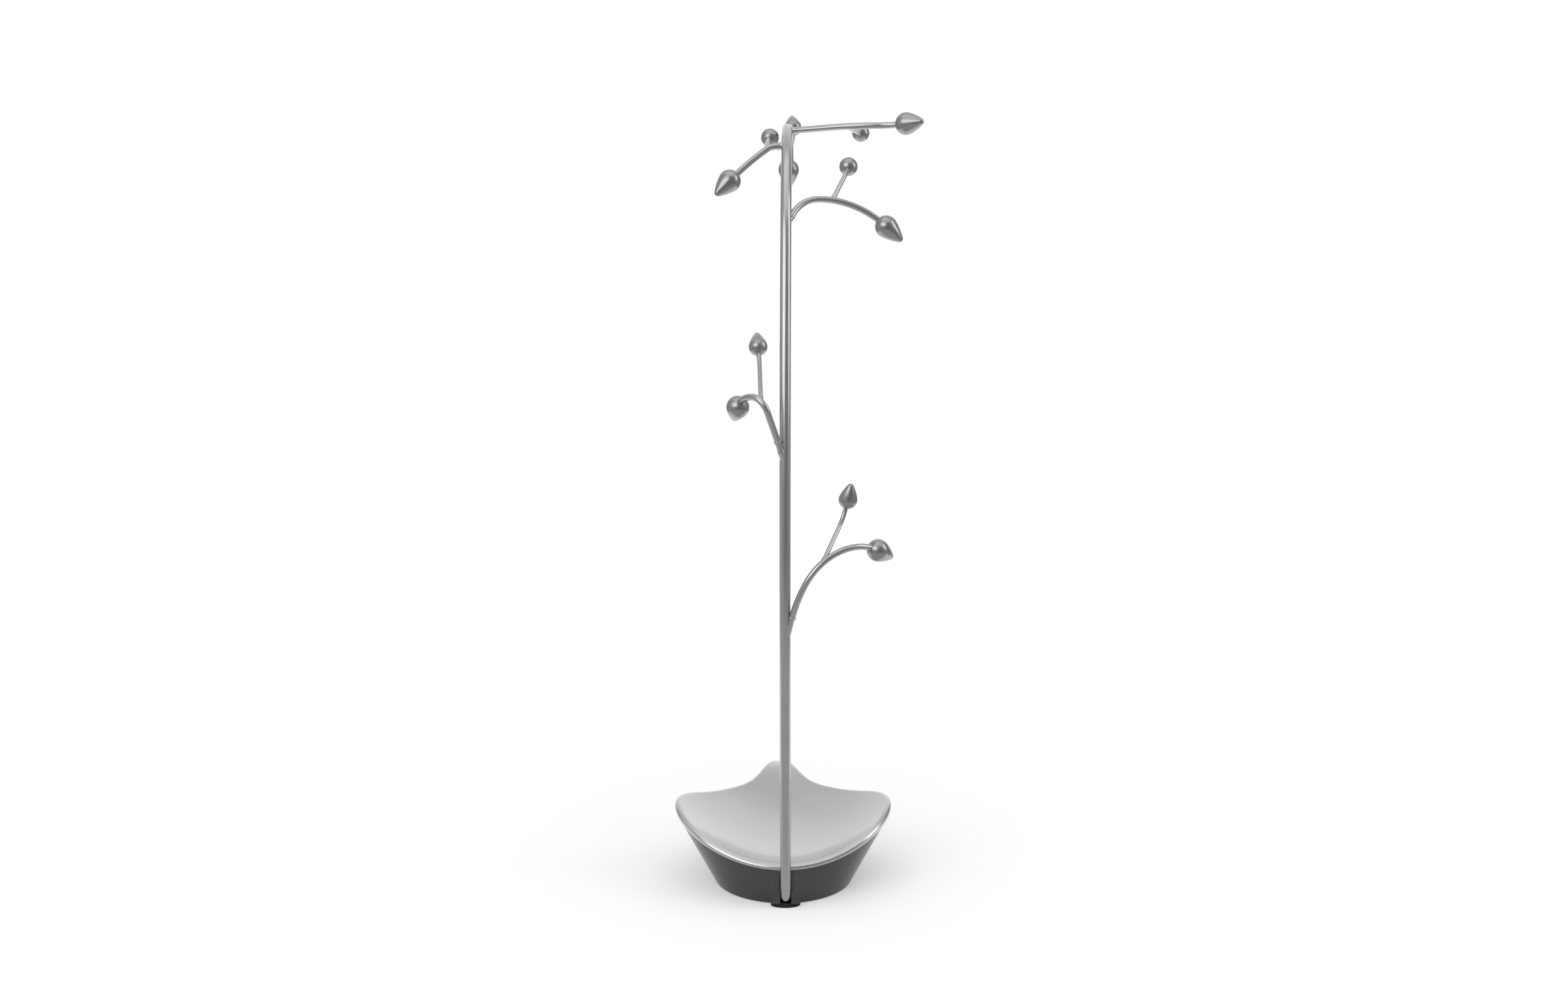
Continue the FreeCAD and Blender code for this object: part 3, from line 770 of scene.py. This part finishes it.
def rim_outline():
    """Closed outline of the dish in mm, and the outward direction at each point."""
    turn = rad(RIM_TIP_TURN)
    right = smooth_line(rim_points(), (1, 0), (-math.sin(turn), math.cos(turn)), RIM_SIDE_POINTS)
    angles = np.linspace(turn, math.pi - turn, RIM_TIP_POINTS)[1:-1]
    tip = np.stack([RIM_TIP_R * np.cos(angles), RIM_BACK - RIM_TIP_R + RIM_TIP_R * np.sin(angles)], axis=1)
    left = right[1:][::-1] * (-1, 1)
    line = np.concatenate([right, tip, left])
    along = np.roll(line, -1, axis=0) - np.roll(line, 1, axis=0)
    along /= np.linalg.norm(along, axis=1)[:, None]
    out = np.stack([along[:, 1], -along[:, 0]], axis=1)
    return line + out * TRAY_LIP, out


rim_line, rim_out = rim_outline()
print("points round the rim:", len(rim_line))

# %% Dish mesh
RIM_ROUND = 2.3
RIM_UNDER_ROUND = 0.5
DISH_RINGS = 30
ROUND_STEPS = 24
UNDER_STEPS = 8
SETTLE_STEPS = 8
RING_SPREAD = 0.9
UNDER_RING_STEP = 3
DISH_MIDDLE = np.array((0.0, -4.0))


def rim_section(point, out):
    """Points over the rim at one place: inner end of the roll, over it, down and under."""
    back = RIM_ROUND
    for _ in range(SETTLE_STEPS):
        inner = point - out * back
        rise = float(np.dot(slope(top_z, *inner), out))
        long = math.sqrt(1 + rise * rise)
        back = RIM_ROUND * (1 + rise / long)
    centre = top_z(*(point - out * back)) - RIM_ROUND / long
    start = math.atan2(1, -rise)
    section = []
    for i in range(ROUND_STEPS + 1):
        a = start * (1 - i / ROUND_STEPS)
        section.append((RIM_ROUND * (math.cos(a) - 1), centre + RIM_ROUND * math.sin(a)))
    fall = float(np.dot(slope(dish_z, *point), out))
    end = math.atan2(-1, fall)
    r = RIM_UNDER_ROUND
    low = under_z(*(point - out * r)) + r * math.sqrt(1 + fall * fall)
    for i in range(UNDER_STEPS + 1):
        a = end * i / UNDER_STEPS
        section.append((r * (math.cos(a) - 1), low + r * math.sin(a)))
    return [(*(point + out * d), z) for d, z in section]


def dish_ring(ends, share, height):
    """Ring of points a share of the way from the middle of the dish to the given ends."""
    ring = []
    for end in ends:
        p = DISH_MIDDLE + (np.array(end[:2]) - DISH_MIDDLE) * share
        ring.append((*p, height(*p)))
    return ring


def build_dish():
    made = bmesh.new()
    sections = [rim_section(p, o) for p, o in zip(rim_line, rim_out)]
    over_rim = list(zip(*sections))
    rings = [dish_ring(over_rim[0], (k / DISH_RINGS) ** RING_SPREAD, top_z) for k in range(1, DISH_RINGS)]
    rings += over_rim
    for k in range(DISH_RINGS - 1, 0, -UNDER_RING_STEP):
        rings.append(dish_ring(over_rim[-1], k / DISH_RINGS, under_z))
    rows = [[made.verts.new(Vector(p) * MM) for p in ring] for ring in rings]
    count = len(rim_line)
    for inner, outer in zip(rows, rows[1:]):
        for i in range(count):
            j = (i + 1) % count
            made.faces.new((inner[i], outer[i], outer[j], inner[j]))
    ends = (rows[0], top_z(*DISH_MIDDLE)), (rows[-1], under_z(*DISH_MIDDLE))
    for row, z in ends:
        pole = made.verts.new(Vector((*DISH_MIDDLE, z)) * MM)
        for i in range(count):
            made.faces.new((pole, row[i], row[(i + 1) % count]))
    return piece_from("tray_smooth", [plain_mesh("dish", made)], dish_finish, "tray")


dish = build_dish()
print("faces of the dish:", len(dish.data.polygons))

# %% [markdown]
# ## Base and hidden parts
# The base is a moulded tub whose walls flare from the floor to the rim, with a foot in front that
# takes the stem in a slot. Its solid already has that shape, so a copy of its mesh is merged and
# shaded smooth. The parts below keep their own meshes and only get a finish.

# %% Base
SAME_PLACE = 1e-6
BASE_SHARP_DEG = 30.0


def merged_copy(node):
    """Copy of a node's mesh as a bmesh, with its loose triangles joined."""
    made = bmesh.new()
    made.from_mesh(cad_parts[node].data)
    bmesh.ops.remove_doubles(made, verts=made.verts, dist=SAME_PLACE)
    return made


base_mesh = merged_copy("base_shell")
base = dressed("base_shell_smooth", base_mesh, base_finish, "base_shell", BASE_SHARP_DEG)
print("faces of the base:", len(base.data.polygons))

# %% [markdown]
# The rubber pad is set back under the base. Below the foot a round black lobe of its rubber fills the gap
# under the nose and meets the floor: a dark sheet put where there is only shade, as painted shadow. The
# lobe and the tongue that joins it to the pad are both convex, so a hull round a few points makes each of
# them.

# %% Pad with a black lobe that stands in for shadow
# painted shadow: the lobe is a dark sheet of rubber set in the shaded gap under the nose
SHADOW_LOBE_BACK = -49.7
SHADOW_LOBE_REACH = 5.5
SHADOW_LOBE_HALF_W = 8.4
SHADOW_LOBE_TOP = 2.3
SHADOW_LOBE_EDGE = 0.4
TONGUE_HALF_W = 6.0
TONGUE_BACK = -43.5
TONGUE_TOP = 0.5
TONGUE_LAP = 1.0
SHADOW_LOBE_STEPS = 32


def convex(points):
    """Closed mesh of the hull round points in mm."""
    made = bmesh.new()
    verts = [made.verts.new(Vector(point) * MM) for point in points]
    hull = bmesh.ops.convex_hull(made, input=verts)
    spare = [item for item in hull["geom_interior"] if isinstance(item, bmesh.types.BMVert)]
    bmesh.ops.delete(made, geom=spare, context="VERTS")
    return plain_mesh("hull", made)


def build_pad():
    # painted shadow: a black lobe that fills the dark gap under the foot
    shadow_lobe = []
    for i in range(SHADOW_LOBE_STEPS + 1):
        a = math.pi * i / SHADOW_LOBE_STEPS
        for inset, z in ((0, 0), (0, SHADOW_LOBE_TOP - SHADOW_LOBE_EDGE), (SHADOW_LOBE_EDGE, SHADOW_LOBE_TOP)):
            x = (SHADOW_LOBE_HALF_W - inset) * math.cos(a)
            shadow_lobe.append((x, SHADOW_LOBE_BACK - (SHADOW_LOBE_REACH - inset) * math.sin(a), z))
    tongue = []
    for x in (-TONGUE_HALF_W, TONGUE_HALF_W):
        for y in (SHADOW_LOBE_BACK - TONGUE_LAP, TONGUE_BACK):
            tongue += [(x, y, 0), (x, y, TONGUE_TOP)]
    own = plain_mesh("pad", merged_copy("anti_slip_pad"))
    meshes = [own, convex(shadow_lobe), convex(tongue)]
    return piece_from("pad_smooth", meshes, pad_finish, "anti_slip_pad")


pad = build_pad()
print("faces of the pad:", len(pad.data.polygons))

# %% Finishes of the hidden parts
HIDDEN = {
    "bottom_cover": cover_finish,
    "ballast_plate": iron_finish,
    "cover_screws": screw_finish,
    "tray_screws": screw_finish,
    "stem_screw": screw_finish,
}
for node, finish in HIDDEN.items():
    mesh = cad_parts[node].data
    mesh.materials.clear()
    mesh.materials.append(finish)
print("hidden parts:", len(HIDDEN))

# %% [markdown]
# ## Studio
# The picture has a white sweep with a soft contact shadow. The floor is a pale sheet that ends in front of
# the tree, so that the rods also mirror the dimmer room behind the camera. Its own glow makes it white
# further out and is weaker near the tree, which paints a soft shade round it; the lamps add the real shadow
# there. In front the sheet is painted a darker grey as shade, as it is when no lamp points there, and the
# rim and the stem mirror that painted shade, while the glow keeps it white for the camera.

# %% Floor
FLOOR_CORNERS = ((-0.45, -0.65), (0.45, -0.65), (0.55, 3.0), (-0.55, 3.0))
# painted shade: the glow is weakest near the tree, so the floor round it is darker
GLOW_NEAR_PAINTED_SHADE = 0.265
GLOW_FAR = 0.54
GLOW_FROM = 0.06
GLOW_TO = 0.90
FRONT_FADE = (-0.12, 0.02)
# painted shade: the sheet is a darker grey in front, where metal mirrors it
FRONT_PAINTED_SHADE_GREY = 0.60
BACK_GREY = 0.90
FRONT_GLOW = 0.24


def ramp(tree, value, start, end, low, high):
    """A number that goes smoothly from low to high while a value goes from start to end."""
    node = tree.nodes.new("ShaderNodeMapRange")
    node.interpolation_type = "SMOOTHSTEP"
    map_range(node, start, end, low, high)
    tree.links.new(value, node.inputs["Value"])
    return node.outputs["Result"]


def sums(tree, operation, first, second):
    """Two linked numbers joined by a sum of the given kind."""
    node = tree.nodes.new("ShaderNodeMath")
    node.operation = operation
    tree.links.new(first, node.inputs[0])
    tree.links.new(second, node.inputs[1])
    return node.outputs[0]


def floor_finish():
    """Pale sheet: white for the camera, with painted shade: a weaker glow near the tree, and grey in front
    and white behind in what metal mirrors.
    """
    material, tree, shader, places = new_material("white_sweep")
    shader.inputs["Roughness"].default_value = 0.9
    shader.inputs["Specular IOR Level"].default_value = 0.0
    shader.inputs["Emission Color"].default_value = (1, 1, 1, 1)
    away = tree.nodes.new("ShaderNodeVectorMath")
    away.operation = "LENGTH"
    tree.links.new(places, away.inputs[0])
    apart = tree.nodes.new("ShaderNodeSeparateXYZ")
    tree.links.new(places, apart.inputs[0])
    back = ramp(tree, apart.outputs["Y"], *FRONT_FADE, 0, 1)
    # painted shade: the colour of the sheet is grey in front and paler behind
    paper_and_painted_shade = tree.nodes.new("ShaderNodeMix")
    paper_and_painted_shade.data_type = "RGBA"
    paper_and_painted_shade.inputs["A"].default_value = (FRONT_PAINTED_SHADE_GREY, FRONT_PAINTED_SHADE_GREY, FRONT_PAINTED_SHADE_GREY, 1)
    paper_and_painted_shade.inputs["B"].default_value = (BACK_GREY, BACK_GREY, BACK_GREY, 1)
    tree.links.new(back, paper_and_painted_shade.inputs["Factor"])
    tree.links.new(paper_and_painted_shade.outputs["Result"], shader.inputs["Base Color"])
    # painted shade: less glow near the tree darkens the floor round it
    glow_and_painted_shade = ramp(tree, away.outputs["Value"], GLOW_FROM, GLOW_TO, GLOW_NEAR_PAINTED_SHADE, GLOW_FAR)
    front = ramp(tree, apart.outputs["Y"], *FRONT_FADE, FRONT_GLOW, 0)
    path = tree.nodes.new("ShaderNodeLightPath").outputs
    plain = sums(tree, "MAXIMUM", path["Is Camera Ray"], path["Is Transmission Ray"])
    seen = sums(tree, "MULTIPLY", plain, sums(tree, "ADD", glow_and_painted_shade, front))
    mirrored = sums(tree, "MULTIPLY", path["Is Glossy Ray"], sums(tree, "MULTIPLY", glow_and_painted_shade, back))
    tree.links.new(sums(tree, "ADD", seen, mirrored), shader.inputs["Emission Strength"])
    return material


def build_floor():
    made = bmesh.new()
    made.faces.new([made.verts.new((x, y, 0)) for x, y in FLOOR_CORNERS])
    mesh = plain_mesh("floor", made)
    mesh.materials.append(floor_finish())
    floor = bpy.data.objects.new("floor", mesh)
    bpy.context.scene.collection.objects.link(floor)


build_floor()
print("corners of the floor in m:", FLOOR_CORNERS)

# %% [markdown]
# The room is a soft gradient: brighter above, behind and to the left, dimmest in front on the right.
# Behind the tree hangs the white sweep, and the metal mirrors it. A dark flag stands on each side
# behind, which gives the rods and the ends of the rim their darker edges. The camera itself sees
# plain white wherever it looks past the tree.

# %% World
ROOM_LEVEL = 0.50
ROOM_SLOPE = (-0.06, 0.25, 0.05)
SWEEP_AT = (0.22, 0.95, 0.22)
SWEEP_FADE = (0.68, 1.0)
SWEEP_SIDE = (0.38, 0.70)
SWEEP_LEVEL = 1.0
FLAG_SIDE = (0.5, 0.75)
FLAG_BACK = (0.1, 0.5)
FLAG_DEPTH = 0.30


def along(tree, places, direction):
    """How far a ray points along a direction."""
    node = tree.nodes.new("ShaderNodeVectorMath")
    node.operation = "DOT_PRODUCT"
    node.inputs[1].default_value = direction
    tree.links.new(places, node.inputs[0])
    return node.outputs["Value"]


def mix_numbers(tree, factor, start, end):
    """A number that goes from a start to a fixed end with a factor."""
    node = tree.nodes.new("ShaderNodeMix")
    node.inputs["B"].default_value = end
    tree.links.new(factor, node.inputs["Factor"])
    tree.links.new(start, node.inputs["A"])
    return node.outputs["Result"]


def build_world():
    world = bpy.data.worlds.new("studio")
    bpy.context.scene.world = world
    world.use_nodes = True
    tree = world.node_tree
    places = tree.nodes.new("ShaderNodeTexCoord").outputs["Generated"]
    room = tree.nodes.new("ShaderNodeMath")
    room.operation = "ADD"
    room.inputs[1].default_value = ROOM_LEVEL
    tree.links.new(along(tree, places, ROOM_SLOPE), room.inputs[0])
    aside = tree.nodes.new("ShaderNodeMath")
    aside.operation = "ABSOLUTE"
    tree.links.new(along(tree, places, (1, 0, 0)), aside.inputs[0])
    flag_side = ramp(tree, aside.outputs[0], *FLAG_SIDE, 0, 1)
    flag_back = ramp(tree, along(tree, places, (0, 1, 0)), *FLAG_BACK, 0, FLAG_DEPTH)
    flags = sums(tree, "MULTIPLY", flag_side, flag_back)
    level = sums(tree, "SUBTRACT", room.outputs[0], flags)
    behind = tree.nodes.new("ShaderNodeMapRange")
    map_range(behind, *SWEEP_FADE, 0, 1)
    tree.links.new(along(tree, places, SWEEP_AT), behind.inputs["Value"])
    sweep_side = ramp(tree, aside.outputs[0], *SWEEP_SIDE, 1, 0)
    sweep = sums(tree, "MULTIPLY", behind.outputs["Result"], sweep_side)
    level = mix_numbers(tree, sweep, level, SWEEP_LEVEL)
    path = tree.nodes.new("ShaderNodeLightPath")
    level = mix_numbers(tree, path.outputs["Is Camera Ray"], level, 1.0)
    light = tree.nodes["Background"]
    light.inputs["Color"].default_value = (1, 1, 1, 1)
    tree.links.new(level, light.inputs["Strength"])


build_world()
print("level of the room straight ahead of the tree and behind it:",
      round(ROOM_LEVEL - ROOM_SLOPE[1], 2), round(ROOM_LEVEL + ROOM_SLOPE[1], 2))

# %% [markdown]
# Three large soft boxes light the tree: the main one from the front on the left, a narrow one from
# the right and a wide one overhead. Boxes, and not points, because metal mirrors their shape.

# %% Lamps
# place and aim in m, width and height in m, watts
LAMPS = {
    "left_box": ((-0.77, -1.10, 0.93), (0, 0, 0.25), (1.3, 0.9), 5.8),
    "right_box": ((1.22, -0.26, 0.89), (0, 0, 0.25), (0.5, 1.1), 3),
    "top_box": ((0, -0.30, 1.60), (0, 0, 0.1), (1.6, 1.4), 4),
}


def lamp(name, place, aim, size, watts):
    """A rectangular soft box that faces its aim."""
    data = bpy.data.lights.new(name, "AREA")
    data.shape = "RECTANGLE"
    data.size, data.size_y = size
    data.energy = watts
    light = bpy.data.objects.new(name, data)
    light.location = place
    light.rotation_euler = (Vector(aim) - Vector(place)).to_track_quat("-Z", "Y").to_euler()
    bpy.context.scene.collection.objects.link(light)


for name, values in LAMPS.items():
    lamp(name, *values)
print("lamps:", len(bpy.data.lights))

# %% [markdown]
# ## Colour view
# The picture keeps colours as they are written.

# %% Finish
bpy.context.scene.view_settings.view_transform = "Standard"
